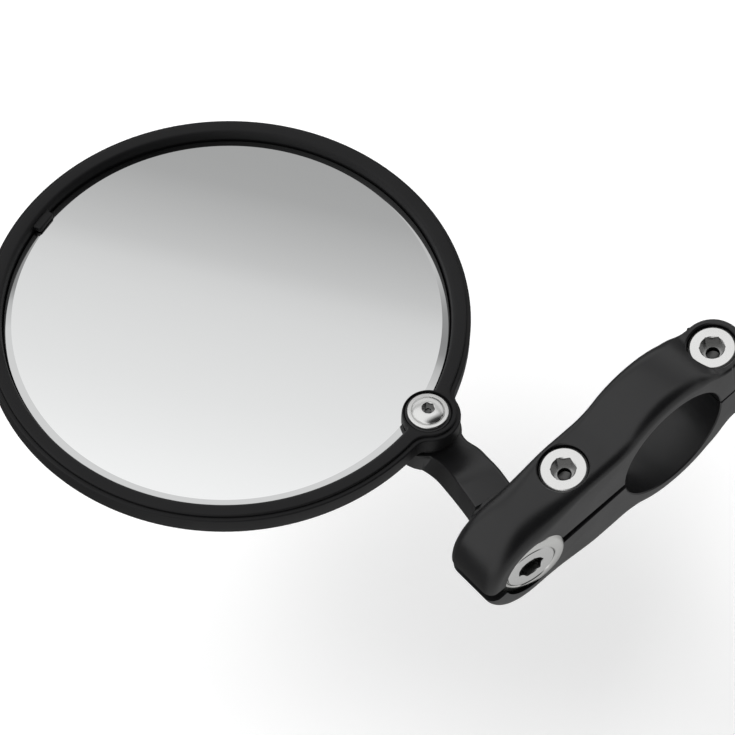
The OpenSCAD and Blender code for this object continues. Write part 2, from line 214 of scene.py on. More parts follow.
def rounded(points, steps=EDGE_STEPS):
    """An open or closed line of (x, y, corner radius) with its corners rounded."""
    out = []
    for i, (x, y, r) in enumerate(points):
        if r <= 0 or i in (0, len(points) - 1):
            out.append((x, y))
            continue
        here = Vector((x, y))
        before = (Vector(points[i - 1][:2]) - here).normalized()
        after = (Vector(points[i + 1][:2]) - here).normalized()
        half = before.angle(after) / 2
        reach = r / math.tan(half)
        centre = here + (before + after).normalized() * (r / math.sin(half))
        p, q = here + before * reach - centre, here + after * reach - centre
        turn = p.angle_signed(q)
        for k in range(steps + 1):
            a = turn * k / steps
            out.append((centre.x + p.x * math.cos(a) + p.y * math.sin(a),
                        centre.y - p.x * math.sin(a) + p.y * math.cos(a)))
    return out


def tidy(bm, merge=1e-5):
    """Merges doubled vertices and turns the faces outwards."""
    bmesh.ops.remove_doubles(bm, verts=bm.verts, dist=merge)
    bmesh.ops.dissolve_degenerate(bm, edges=bm.edges, dist=merge)
    bmesh.ops.recalc_face_normals(bm, faces=bm.faces)


def ring_edges(bm, verts):
    """The edges that join the vertices into a ring, made where they are missing."""
    pairs = [(v, verts[(i + 1) % len(verts)]) for i, v in enumerate(verts)]
    return [bm.edges.get(pair) or bm.edges.new(pair) for pair in pairs]


def loft(levels, cap_low=True, cap_high=True):
    """Closed skin: the first ring is extruded from level to level, all of the same number of points."""
    bm = bmesh.new()
    verts = [bm.verts.new(p) for p in levels[0]]
    first = edges = ring_edges(bm, verts)
    for level in levels[1:]:
        made = bmesh.ops.extrude_edge_only(bm, edges=edges)["geom"]
        fresh = {v for v in made if isinstance(v, bmesh.types.BMVert)}
        verts = [next(e.other_vert(v) for e in v.link_edges if e.other_vert(v) in fresh) for v in verts]
        for vert, point in zip(verts, level):
            vert.co = point
        edges = ring_edges(bm, verts)
    if cap_low:
        bmesh.ops.contextual_create(bm, geom=first)
    if cap_high:
        bmesh.ops.contextual_create(bm, geom=edges)
    tidy(bm)
    return bm


def lathe(profile, steps=ROUND_STEPS):
    """Turns a closed profile of (radius, height) about Z."""
    bm = bmesh.new()
    verts = [bm.verts.new((r, 0, z)) for r, z in profile]
    edges = [bm.edges.new((a, b)) for a, b in zip(verts, verts[1:])]
    if profile[0][0] > 1e-6 or profile[-1][0] > 1e-6:
        edges.append(bm.edges.new((verts[-1], verts[0])))
    bmesh.ops.spin(bm, geom=verts + edges, cent=(0, 0, 0), axis=(0, 0, 1), dvec=(0, 0, 0),
                   angle=FULL_TURN, steps=steps, use_merge=True, use_duplicate=False)
    tidy(bm)
    return bm


def rod(radius, low, high, steps):
    """A straight round rod between two heights."""
    return lathe([(0, low), (radius, low), (radius, high), (0, high)], steps)


def prism(outline, low, high):
    """A straight prism between two heights."""
    return loft([[(x, y, low) for x, y in outline], [(x, y, high) for x, y in outline]])


def hexagon(across, turn=0.0):
    """Corners of a hexagon that measures across its flats."""
    r = across / 2 / math.cos(math.radians(30))
    return [(r * math.cos(turn + i * math.pi / 3), r * math.sin(turn + i * math.pi / 3)) for i in range(6)]


def outline_normals(outline):
    """Outward normal at each point of a closed counter-clockwise outline."""
    out = []
    n = len(outline)
    for i in range(n):
        a, b = Vector(outline[i - 1]), Vector(outline[(i + 1) % n])
        along = (b - a).normalized()
        out.append((along.y, -along.x))
    return out


def slab(outline, low, high, low_round, high_round, steps=EDGE_STEPS):
    """A flat plate with rounded edges; the rounding may differ from point to point."""
    normals = outline_normals(outline)

    def ring(height, rounding, angle):
        points = []
        for (x, y), (nx, ny), r in zip(outline, normals, rounding):
            inset = r * (1 - math.sin(angle))
            z = low + r * (1 - math.cos(angle)) if height == "low" else high - r * (1 - math.cos(angle))
            points.append((x - nx * inset, y - ny * inset, z))
        return points

    angles = [math.pi / 2 * k / steps for k in range(steps + 1)]
    levels = [ring("low", low_round, a) for a in angles]
    levels += [ring("high", high_round, a) for a in reversed(angles)]
    return loft(levels)


def turned(bm, matrix):
    """The same mesh after a transform."""
    bmesh.ops.transform(bm, matrix=matrix, verts=bm.verts)
    return bm


def moved(bm, x=0.0, y=0.0, z=0.0):
    """The same mesh after a shift."""
    return turned(bm, Matrix.Translation((x, y, z)))


LIE_ALONG_Y = Matrix.Rotation(-math.pi / 2, 4, "X")


def as_object(bm, name):
    """A scratch object that holds the mesh."""
    mesh = bpy.data.meshes.new(name)
    bm.to_mesh(mesh)
    bm.free()
    obj = bpy.data.objects.new(name, mesh)
    bpy.context.scene.collection.objects.link(obj)
    return obj


def combine(base, others, operation):
    """Joins solids to the base or cuts them from it, and gives the new mesh."""
    solids = [as_object(base, "base")] + [as_object(o, "tool") for o in others]
    for tool in solids[1:]:
        step = solids[0].modifiers.new("combine", "BOOLEAN")
        step.operation, step.solver, step.object = operation, "MANIFOLD", tool
    bpy.context.view_layer.update()
    graph = bpy.context.evaluated_depsgraph_get()
    bm = bmesh.new()
    bm.from_object(solids[0], graph)
    for obj in solids:
        mesh = obj.data
        bpy.data.objects.remove(obj)
        bpy.data.meshes.remove(mesh)
    bmesh.ops.remove_doubles(bm, verts=bm.verts, dist=1e-4)
    return bm


def cut(base, *tools):
    """The base without the tools."""
    return combine(base, tools, "DIFFERENCE")


def join(base, *parts):
    """The base together with the parts."""
    return combine(base, parts, "UNION")


def mark(bm, name, share):
    """Marks each face with the share that its middle and normal give it, for a finish of its own."""
    layer = bm.faces.layers.float.new(name)
    for face in bm.faces:
        face[layer] = float(share(face.calc_center_median(), face.normal))
    return bm


def mark_socket_shade(bm, across, top, depth):
    """Marks the inside of a screw's socket, whose axis is +Z, for painted shade, and more so its pilot
    hole.
    """
    def share(middle, normal):
        if middle.xy.length > across * 0.6 or not top - depth - 3 < middle.z < top - 0.1:
            return 0.0
        # Painted shade: the socket's walls get a share of 0.65 and the pilot hole the full share.
        return 0.65 if middle.z > top - depth - 0.1 else 1.0
    return mark(bm, "socket", share)


def finish_piece(bm, name, place, node, slot, sharp=SHARP_ANGLE):
    """Puts a millimetre mesh into the frame as the finished piece that stands for a CAD node."""
    bmesh.ops.transform(bm, matrix=PLACES[place], verts=bm.verts)
    mesh = bpy.data.meshes.new(name)
    bm.to_mesh(mesh)
    bm.free()
    mesh.polygons.foreach_set("use_smooth", [True] * len(mesh.polygons))
    mesh.set_sharp_from_angle(angle=sharp)
    obj = bpy.data.objects.new(name, mesh)
    bpy.context.scene.collection.objects.link(obj)
    mesh.materials.append(material(slot))
    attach(obj, BODIES[place])
    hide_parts(node)


# ---------------------------------------------------------------- materials

def add_node(tree, kind, settings=None, links=None):
    """Adds a node; settings go to its properties or inputs, links join other nodes' outputs to it."""
    node = tree.nodes.new(kind)
    for key, value in (settings or {}).items():
        if isinstance(key, int) or key in node.inputs:
            node.inputs[key].default_value = value
        else:
            setattr(node, key, value)
    for key, output in (links or {}).items():
        tree.links.new(output, node.inputs[key])
    return node


def start_material(name, colour, metallic, roughness, **sockets):
    """A material with one Principled shader; returns the material, its tree and the shader."""
    material = bpy.data.materials.new(name)
    material.use_nodes = True
    tree = material.node_tree
    shader = tree.nodes["Principled BSDF"]
    shader.inputs["Base Color"].default_value = (*colour, 1)
    shader.inputs["Metallic"].default_value = metallic
    shader.inputs["Roughness"].default_value = roughness
    for key, value in sockets.items():
        shader.inputs[key.replace("_", " ")].default_value = value
    return material, tree, shader


def grain(tree, shader, size_mm, depth_mm, rough_low, rough_high, strength=1.0):
    """Fine surface grain of a real size, with roughness that varies with it."""
    place = add_node(tree, "ShaderNodeTexCoord")
    fine = add_node(tree, "ShaderNodeTexNoise",
                    {"Scale": 1 / (size_mm * MM), "Detail": 3.0, "Roughness": 0.6},
                    {"Vector": place.outputs["Object"]})
    broad = add_node(tree, "ShaderNodeTexNoise",
                     {"Scale": 1 / (size_mm * MM * 40), "Detail": 4.0},
                     {"Vector": place.outputs["Object"]})
    spread = add_node(tree, "ShaderNodeMapRange",
                      {"From Min": 0.3, "From Max": 0.7, "To Min": rough_low, "To Max": rough_high},
                      {"Value": broad.outputs["Fac"]})
    bump = add_node(tree, "ShaderNodeBump",
                    {"Strength": strength, "Distance": depth_mm * MM},
                    {"Height": fine.outputs["Fac"]})
    tree.links.new(spread.outputs["Result"], shader.inputs["Roughness"])
    tree.links.new(bump.outputs["Normal"], shader.inputs["Normal"])


def darken(tree, shader, mark_name, colour, share):
    """Darkens the marked faces to a share of the colour."""
    marked = add_node(tree, "ShaderNodeAttribute", {"attribute_name": mark_name})
    tone = add_node(tree, "ShaderNodeMix", {"data_type": "RGBA"}, {0: marked.outputs["Fac"]})
    tone.inputs[6].default_value = (*colour, 1)
    tone.inputs[7].default_value = (*(share * c for c in colour), 1)
    tree.links.new(tone.outputs[2], shader.inputs["Base Color"])


def anodised_aluminium(colours):
    """Bead-blasted and black anodised: a soft wide sheen on a fine peened grain."""
    material, tree, shader = start_material("black_anodised_aluminium", colours.anodised, 0.0, 0.33)
    grain(tree, shader, 0.16, 0.01, 0.28, 0.38)
    return material


def moulded_nylon(colours):
    """Glass-filled nylon from a spark-eroded mould: matt with a fine even texture."""
    material, tree, shader = start_material("moulded_black_nylon", colours.nylon, 0.0, 0.5,
                                            Specular_IOR_Level=0.25)
    grain(tree, shader, 0.2, 0.01, 0.44, 0.54)
    return material


def plated_steel(colours):
    """Zinc-plated machine screw: bright, with faint turning marks, and painted shade inside its socket."""
    material, tree, shader = start_material("zinc_plated_steel", colours.steel, 1.0, 0.24)
    grain(tree, shader, 0.25, 0.004, 0.18, 0.3)
    # Painted shade: the marked socket faces are darkened to stand in for the shade inside the recess,
    # darkest in the pilot hole.
    darken(tree, shader, "socket", colours.steel, 0.12)
    return material


def polished_steel(colours):
    """Ground and polished stainless ball."""
    material, tree, shader = start_material("polished_stainless_steel", colours.ball, 1.0, 0.16)
    grain(tree, shader, 0.3, 0.002, 0.12, 0.2)
    return material


def plain_nylon(name, hex_colour, low, high):
    """Small turned or moulded plastic parts."""
    material, tree, shader = start_material(name, linear(hex_colour), 0.0, (low + high) / 2)
    grain(tree, shader, 0.15, 0.006, low, high)
    return material


def mirror_silver(colours):
    """Silvered float glass: almost perfectly smooth, with the faintest unevenness of the coat."""
    material, tree, shader = start_material("mirror_silver", colours.silver, 1.0, 0.015)
    place = add_node(tree, "ShaderNodeTexCoord")
    haze = add_node(tree, "ShaderNodeTexNoise", {"Scale": 60.0, "Detail": 3.0},
                    {"Vector": place.outputs["Object"]})
    spread = add_node(tree, "ShaderNodeMapRange",
                      {"From Min": 0.3, "From Max": 0.7, "To Min": 0.01, "To Max": 0.03},
                      {"Value": haze.outputs["Fac"]})
    tree.links.new(spread.outputs["Result"], shader.inputs["Roughness"])
    darken(tree, shader, "bevel", colours.silver, 0.7)
    return material


def foam():
    """Closed-cell mounting foam."""
    material, tree, shader = start_material("mounting_foam", linear("#2b2b2b"), 0.0, 0.9)
    grain(tree, shader, 0.4, 0.05, 0.8, 0.95)
    return material


MATERIALS = {}


def material(slot):
    """The finished material of that slot, made once."""
    if not MATERIALS:
        colours = bpy.context.scene.mirror_colours
        nylon = moulded_nylon(colours)
        MATERIALS.update({
            "anodised_black": anodised_aluminium(colours),
            "housing_plastic": nylon,
            "ring_plastic": nylon,
            "screw_steel": plated_steel(colours),
            "ball_steel": polished_steel(colours),
            "mirror_silver": mirror_silver(colours),
            "washer_black": plain_nylon("matt_black_acetal", "#1c1c1d", 0.45, 0.6),
            "bush_nylon": plain_nylon("oiled_grey_nylon", "#3a3a36", 0.4, 0.55),
            "nut_insert": plain_nylon("natural_nylon", "#d9dde0", 0.35, 0.5),
            "adhesive": foam()})
    return MATERIALS[slot]


def dress_node(node, slot):
    """Gives a carried-over node its finished material."""
    slots = frame["nodes"][node].data.materials
    slots.clear()
    slots.append(material(slot))


# ---------------------------------------------------------------- clamp

def clamp_outline(s):
    """Side view of the clamp, counter-clockwise from the free end, with the rounding at each point."""
    blend_in, blend_out = 8.0, 4.0
    step = 0.55
    near = math.sqrt((s.drum_r + blend_in) ** 2 - (s.half_h + blend_in) ** 2)
    far = math.sqrt((s.drum_r + blend_out) ** 2 - (s.eye_half_h + blend_out) ** 2)
    rise = math.atan2(s.half_h + blend_in, -near)
    fall = math.atan2(s.eye_half_h + blend_out, far)
    end_x = s.end_shift - BALL_REACH
    top = arc(end_x, 0, s.end_r, math.pi, math.pi / 2, 40)[1:]
    straight = -near - end_x
    count = int(straight / step)
    lift = s.end_r - s.half_h
    top += [(end_x + straight * i / count, s.end_r - lift * i / count) for i in range(1, count)]
    top += arc(-near, s.half_h + blend_in, blend_in, -math.pi / 2, rise - math.pi, 10)
    top += arc(0, 0, s.drum_r, rise, fall, 34)[1:]
    top += arc(far, s.eye_half_h + blend_out, blend_out, fall - math.pi, -math.pi / 2, 8)[1:]
    if far < s.outer_x:
        top.append((s.outer_x, s.eye_half_h))
    return top


def shoulder(x):
    """Rounding of the clamp's long edges: wide over the ball, slim between, wider over the bore."""
    def hill(centre, half_width):
        return max(0.0, 1 - ((x - centre) / half_width) ** 2) ** 2
    r = 1.9 + 2.2 * hill(-BALL_REACH + 1.5, 12.5) + 0.6 * hill(0.0, 12.0)
    if x > 8.0:
        r = max(0.6, r - (x - 8.0) * 0.35)
    return r


def clamp_solid(s):
    """The clamp before it is split, with its long edges rounded."""
    top = clamp_outline(s)
    outline = [(x, -z) for x, z in top]
    outline = outline + [(x, z) for x, z in reversed(top)]
    outline.append((s.end_shift - BALL_REACH - s.end_r, 0.0))
    rounding = [shoulder(point[0]) for point in outline]
    half = s.width / 2
    body = slab(outline, -half, half, rounding, rounding, 8)
    turned(body, Matrix.Rotation(math.pi / 2, 4, "X"))
    edge = 0.6
    eye = lathe(rounded([(0, -s.eye_half_h, 0), (s.eye_r, -s.eye_half_h, edge),
                         (s.eye_r, s.eye_half_h, edge), (0, s.eye_half_h, 0)]))
    return join(body, moved(eye, s.outer_x))


def flared_slot(s):
    """Tool for the split: a taper that opens slightly at the side faces."""
    far_x = s.outer_x + 12
    near_x = -BALL_REACH - s.end_r - 4
    span = s.outer_x + BALL_REACH + s.end_r
    slope = (s.gap_ball - s.gap_outer) / span

    def gap(x):
        return s.gap_outer + slope * (s.outer_x - x)

    half, flare, reach = s.width / 2, 0.18, 4.0

    def section(x):
        g = gap(x) / 2
        return [(x, half + reach, g + flare + reach), (x, half, g + flare), (x, half - flare, g),
                (x, -half + flare, g), (x, -half, g + flare), (x, -half - reach, g + flare + reach),
                (x, -half - reach, -g - flare - reach), (x, -half, -g - flare), (x, -half + flare, -g),
                (x, half - flare, -g), (x, half, -g - flare), (x, half + reach, -g - flare - reach)]

    return loft([section(near_x), section(far_x)])


def flared_bore(radius, half, flare, steps=128):
    """Tool for a round hole with small chamfers where it meets the two faces."""
    out = 3.0
    profile = [(0, -half - out), (radius + flare + out, -half - out), (radius + flare, -half),
               (radius, -half + flare), (radius, half - flare), (radius + flare, half),
               (radius + flare + out, half + out), (0, half + out)]
    return lathe(profile, steps)


def bolt_pocket(s, x, seat, top):
    """Tool for a screw: head pocket with a chamfered mouth, and its hole."""
    pocket_r, hole_r, thread_r, flare = s.head_r + 0.15, BOLT_R + 0.25, BOLT_R + RUN_GAP, 0.2
    profile = [(0, -s.drum_r), (thread_r, -s.drum_r + 2), (thread_r, 0), (hole_r, 0), (hole_r, seat),
               (pocket_r, seat), (pocket_r, top - flare), (pocket_r + flare, top),
               (pocket_r + flare, top + 9), (0, top + 9)]
    return moved(lathe(profile, 72), x)


def screw_seats(s):
    """Seat heights of the inner and the outer clamp screw."""
    return s.half_h - s.sink - s.head_h, s.eye_half_h - s.sink - s.head_h


class MIRROR_OT_clamp(bpy.types.Operator):
    """Builds both jaws of the clamp"""
    bl_idname = "mirror.clamp"
    bl_label = "Clamp jaws"

    def execute(self, context):
        s = context.scene.clamp_sizes
        inner_seat, outer_seat = screw_seats(s)
        ball_seat = bmesh.new()
        bmesh.ops.create_uvsphere(ball_seat, u_segments=128, v_segments=64, radius=BALL_R + RUN_GAP)
        turned(ball_seat, LIE_ALONG_Y)
        solid = cut(
            clamp_solid(s),
            turned(flared_bore(s.bore_r, s.width / 2, 0.2), LIE_ALONG_Y),
            moved(ball_seat, -BALL_REACH),
            bolt_pocket(s, -s.inner_x, inner_seat, s.half_h),
            bolt_pocket(s, s.outer_x, outer_seat, s.eye_half_h),
            flared_slot(s))
        halves = {"upper_jaw_casting": (1, "upper_jaw"), "lower_jaw_casting": (-1, "lower_jaw")}
        for name, (side, node) in halves.items():
            half = solid.copy()
            wrong = [f for f in half.faces if f.calc_center_median().z * side < 0]
            bmesh.ops.delete(half, geom=wrong, context="FACES")
            finish_piece(half, name, "clamp", node, "anodised_black")
        solid.free()
        return {"FINISHED"}


# ---------------------------------------------------------------- screws

def socket_tool(across, top, depth, turn=0.0, chamfer=0.12, pilot=1.4):
    """Tool for a hexagon socket with a pilot hole in its bottom and a chamfered mouth."""
    walls = prism(hexagon(across, turn), top - depth, top + 1)
    r = across / 2 / math.cos(math.radians(30))
    drill_r = across * 0.31
    floor = top - depth
    drill = lathe([(0, floor - pilot - drill_r * 0.5), (drill_r, floor - pilot),
                   (drill_r, floor + 0.1), (0, floor + 0.1)], 36)
    mouth = lathe([(0, top - 2 * chamfer), (0.95 * r - 2 * chamfer, top - 2 * chamfer),
                   (0.95 * r, top), (0.95 * r, top + 1), (0, top + 1)], 48)
    return [walls, drill, mouth]


def cap_screw(head_r, head_h, shank_r, tip, seat, across, socket_depth, turn=0.0):
    """Socket-head screw: chamfered head, hexagon socket marked for painted shade, and shank, standing on
    +Z.
    """
    top = seat + head_h
    body = lathe(rounded([
        (0, tip, 0), (shank_r - 0.5, tip, 0.05), (shank_r, tip + 0.5, 0.1), (shank_r, seat, 0.1),
        (head_r - 0.15, seat, 0.1), (head_r, seat + 0.15, 0.1), (head_r, top - 0.35, 0.25),
        (head_r - 0.45, top, 0.2), (0, top, 0)]), 72)
    return mark_socket_shade(cut(body, *socket_tool(across, top, socket_depth, turn)), across, top, socket_depth)


class MIRROR_OT_clamp_screws(bpy.types.Operator):
    """Builds the two socket screws of the clamp"""
    bl_idname = "mirror.clamp_screws"
    bl_label = "Clamp screws"

    def execute(self, context):
        s = context.scene.clamp_sizes
        seats = screw_seats(s)
        tips = (-s.half_h + TIP_COVER, -s.eye_half_h + TIP_COVER)
        places = (-s.inner_x, s.outer_x)
        names = ("inner_clamp_screw", "outer_clamp_screw")
        nodes = ("inner_clamp_bolt", "outer_clamp_bolt")
        for name, node, x, seat, tip in zip(names, nodes, places, seats, tips):
            screw = cap_screw(s.head_r, s.head_h, BOLT_R, tip, seat, 4.0, 2.2, math.radians(18))
            finish_piece(moved(screw, x), name, "clamp", node, "screw_steel")
        return {"FINISHED"}


class MIRROR_OT_ball(bpy.types.Operator):
    """Builds the ball, the screw through it and the washer behind it"""
    bl_idname = "mirror.ball"
    bl_label = "Ball and its screw"

    def execute(self, context):
        face, edge = BALL_FACE, 0.25
        head_r, head_h, across, depth = 4.8, 3.4, 4.5, 2.2
        a = math.acos(face / BALL_R)
        end = math.pi / 2 - a - edge / BALL_R
        side = arc(0, 0, BALL_R, -end, end, 40)
        flat = BALL_R * math.sin(a) - edge
        bore = BALL_SCREW_R + RUN_GAP
        pocket_r, pocket_top = head_r + RUN_GAP, -face + head_h + FACE_GAP
        profile = [(bore, pocket_top), (pocket_r, pocket_top), (pocket_r, -face + 0.15),
                   (pocket_r + 0.15, -face), (flat, -face)] + side + [(flat, face), (bore, face)]
        ball = turned(lathe(profile, 128), LIE_ALONG_Y)
        finish_piece(ball, "truncated_ball", "ball", "pivot_ball", "ball_steel")

        head = lathe(rounded([
            (0, -face, 0), (head_r - 0.25, -face, 0.15), (head_r, -face + 0.25, 0.15),
            (head_r, -face + head_h, 0.1), (BALL_SCREW_R, -face + head_h, 0.1),
            (BALL_SCREW_R, BALL_SCREW_TIP - 0.4, 0.1), (BALL_SCREW_R - 0.4, BALL_SCREW_TIP, 0.05),
            (0, BALL_SCREW_TIP, 0)]), 72)
        over = Matrix.Rotation(math.pi, 4, "X")
        screw = cut(turned(head, over), *socket_tool(across, face, depth, math.radians(20)))
        # Marks the socket's inside for painted shade.
        screw = turned(mark_socket_shade(screw, across, face, depth), LIE_ALONG_Y @ over)
        finish_piece(screw, "ball_socket_screw", "arm", "ball_screw", "screw_steel")

        washer_r = context.scene.arm_sizes.neck_r - 0.2
        washer = lathe(rounded_ring(BALL_SCREW_R + 0.1, washer_r, face + FACE_GAP, NECK_START, 0.1), 72)
        finish_piece(turned(washer, LIE_ALONG_Y), "ball_lock_washer", "arm", "lock_washer", "screw_steel")
        return {"FINISHED"}


def rounded_ring(r_in, r_out, low, high, edge):
    """Profile of a flat ring with rounded edges."""
    line = [(r_in, (low + high) / 2, 0), (r_in, low, edge), (r_out, low, edge), (r_out, high, edge),
            (r_in, high, edge), (r_in, (low + high) / 2 + 1e-4, 0)]
    return rounded(line, 3)


# ---------------------------------------------------------------- arm

RAMP_END, RAMP_LENGTH = 4.8, 10.0


def bow_at(s, y):
    """Sideways place of the arm's middle."""
    share = max(0.0, min(1.0, y / ARM_REACH))
    return s.bow * math.sin(math.pi * share ** 0.8) ** 1.2


def arm_section(s, y):
    """Cross-section of the arm at a place along it: a crisp ridge on one side, a soft edge on the other."""
    half = s.width / 2
    flare_left = 2.1 * (max(0.0, y - 18.0) / 7.3) ** 2
    flare_right = 1.9 * (max(0.0, y - 20.5) / 5.0) ** 2
    bulge = 0.6 * math.exp(-((y - 18.8) / 2.8) ** 2)
    left = bow_at(s, y) - half - flare_left
    right = bow_at(s, y) + half + flare_right + bulge
    share = max(0.0, min(1.0, (ARM_REACH - RAMP_END - y) / RAMP_LENGTH))
    top = s.top + (s.ball_top - s.top) * (1 - math.cos(math.pi * share)) / 2
    bottom = s.top - s.thickness
    middle = (left + right) / 2
    lean = max(0.0, min(1.0, (y - 12.0) / 8.0))
    ridge = left + 1.2 * lean * lean * (3 - 2 * lean)
    line = rounded([(middle, bottom, 0), (right, bottom, 0.8), (right, top, 1.1), (ridge, top, 0.35),
                    (left, bottom, 0.8), (middle - 0.01, bottom, 0)])
    return [(x, y, z) for x, z in line]


class MIRROR_OT_arm(bpy.types.Operator):
    """Builds the arm"""
    bl_idname = "mirror.arm"
    bl_label = "Arm"

    def execute(self, context):
        s = context.scene.arm_sizes
        start, end, count = NECK_START + 1.6, ARM_REACH - 1.6, 44
        bar = loft([arm_section(s, start + (end - start) * i / count) for i in range(count + 1)])
        bottom = s.top - s.thickness
        neck_end = NECK_START + NECK_LENGTH
        eye = lathe(rounded([(0, bottom, 0), (s.eye_r, bottom, 0.8), (s.eye_r, s.top, 0.5), (0, s.top, 0)]))
        neck = lathe(rounded([(0, NECK_START, 0), (s.neck_r, NECK_START, 0.3),
                              (s.neck_r, neck_end, 0.5), (0, neck_end, 0)]), 72)
        solid = join(bar, moved(eye, 0, ARM_REACH), turned(neck, LIE_ALONG_Y))
        nut = prism(hexagon(NUT_ACROSS + 2 * RUN_GAP), bottom - 1, bottom + NUT_POCKET)
        nut = moved(nut, 0, ARM_REACH)
        hole = moved(rod(PIVOT_R + RUN_GAP, -9, 9, 48), 0, ARM_REACH)
        thread = turned(rod(BALL_SCREW_R + RUN_GAP, 5, BALL_SCREW_TIP + 1.5, 48), LIE_ALONG_Y)
        solid = cut(solid, nut, hole, thread)
        finish_piece(solid, "bowed_arm", "arm", "arm", "anodised_black")
        return {"FINISHED"}


# ---------------------------------------------------------------- pivot hardware

class MIRROR_OT_pivot(bpy.types.Operator):
    """Builds the flanged screw, washers and nut of the head's pivot"""
    bl_idname = "mirror.pivot"
    bl_label = "Pivot hardware"

    def execute(self, context):
        h = context.scene.head_sizes
        a = context.scene.arm_sizes
        floor = h.band_top - RECESS_DEPTH + FACE_GAP
        seat = floor + 0.5
        bottom = a.top - a.thickness
        nut_floor = bottom + NUT_POCKET
        nut_bottom = nut_floor - NUT_H
        tip = nut_bottom - 0.4
        flange_r, flange_t, dome_r, dome_h = 3.6, 0.55, 2.85, 1.05
        across, depth, bore = 2.1, 1.1, PIVOT_R + RUN_GAP
        dome = [(dome_r * math.cos(t), seat + flange_t - 0.02 + dome_h * math.sin(t))
                for t in (math.radians(10 * k) for k in range(1, 7))]
        line = rounded([(0, tip, 0), (PIVOT_R - 0.3, tip, 0.05), (PIVOT_R, tip + 0.3, 0.1),
                        (PIVOT_R, seat, 0.1),
                        (flange_r, seat, 0.2), (flange_r, seat + flange_t, 0.22),
                        (dome_r + 0.12, seat + flange_t, 0.0), (dome_r, seat + flange_t - 0.12, 0.0)])
        line += dome + [(0, dome[-1][1])]
        top = dome[-1][1]
        screw = cut(lathe(line, 96), *socket_tool(across, top, depth, math.radians(12), 0.06, 0.3))
        # Marks the socket's inside for painted shade.
        mark_socket_shade(screw, across, top, depth)
        lift = Matrix.Translation((0, ARM_REACH, 0))
        finish_piece(turned(screw, lift), "flanged_pivot_screw", "arm", "pivot_screw", "screw_steel")
        washer = lathe(rounded_ring(bore, flange_r + 0.4, floor, seat, 0.12), 96)
        finish_piece(turned(washer, lift), "pivot_top_washer", "arm", "pivot_washer", "washer_black")
        lower = lathe(rounded_ring(BUSH_R + 0.1, a.eye_r - 1, a.top, a.top + 0.4, 0.1), 96)
        finish_piece(turned(lower, lift), "arm_friction_washer", "arm", "friction_washer", "washer_black")
        insert_r, insert_h = 2.4, 1.3
        nut = cut(prism(hexagon(NUT_ACROSS), nut_bottom, nut_floor),
                  rod(bore, nut_bottom - 1, nut_floor + 1, 48),
                  rod(insert_r, nut_bottom - 1, nut_bottom + insert_h, 48))
        crown = lathe([(0, nut_bottom), (2.6, nut_bottom), (3.3, nut_bottom + 0.5),
                       (3.3, nut_floor + 1), (0, nut_floor + 1)], 72)
        nut = combine(nut, [crown], "INTERSECT")
        finish_piece(turned(nut, lift), "hexagon_lock_nut", "arm", "lock_nut", "screw_steel")
        dress_node("lock_nut_insert", "nut_insert")
        dress_node("pivot_bush", "bush_nylon")
        return {"FINISHED"}


# ---------------------------------------------------------------- mirror head

BOSS_SHIFT = 0.25
BIG_STEPS, FILLET_STEPS, BOSS_STEPS = 200, 10, 36


def boss_outline(h, big_r, boss_r, fillet_r, side):
    """Circle about the glass's centre joined to the boss by fillets.

    side 1 goes round the outside of the boss, side -1 round the hole that the boss reaches into.
    """
    span = h.reach + BOSS_SHIFT
    to_big, to_boss = big_r + side * fillet_r, boss_r + fillet_r
    at_big = math.acos((to_big ** 2 + span ** 2 - to_boss ** 2) / (2 * span * to_big))
    fx, fy = to_big * math.sin(at_big), h.reach - to_big * math.cos(at_big)
    down = -math.pi / 2
    points = arc(0, h.reach, big_r, down + at_big, down + FULL_TURN - at_big, BIG_STEPS)
    toward_boss = math.atan2(-BOSS_SHIFT - fy, -fx)
    toward_big = math.atan2(fy - h.reach, fx) + (math.pi if side > 0 else 0)
    turn = (toward_boss - toward_big + math.pi) % FULL_TURN - math.pi
    right = arc(fx, fy, fillet_r, toward_big, toward_big + turn, FILLET_STEPS)
    left = [(-x, y) for x, y in right]
    start = math.atan2(fy + BOSS_SHIFT, fx)
    if side > 0:
        boss = arc(0, -BOSS_SHIFT, boss_r, -math.pi - start, start, BOSS_STEPS)
    else:
        boss = arc(0, -BOSS_SHIFT, boss_r, math.pi - start, start, BOSS_STEPS)
    return points[:-1] + left[:-1] + boss[:-1] + list(reversed(right))[:-1]


def at_height(outline, z):
    """An outline as a ring of 3-D points."""
    return [(x, y, z) for x, y in outline]


def circle_like(h, radius, count):
    """A circle about the glass's centre with its points in step with the outlines above."""
    start = -math.pi / 2 + 0.16
    sweep = FULL_TURN - 0.32
    points = [(radius * math.cos(start + sweep * i / BIG_STEPS),
               h.reach + radius * math.sin(start + sweep * i / BIG_STEPS)) for i in range(BIG_STEPS)]
    rest = count - BIG_STEPS
    back = start + sweep
    points += [(radius * math.cos(back + 0.32 * i / rest),
                h.reach + radius * math.sin(back + 0.32 * i / rest)) for i in range(rest)]
    return points


LIP_TOP_DROP = 0.6
LIP_W = 0.75
RING_SEAT_LIFT = 0.3
OUTER_FILLET = 3.2
RECESS_GAP = 0.3
NECK_STEP = 0.5


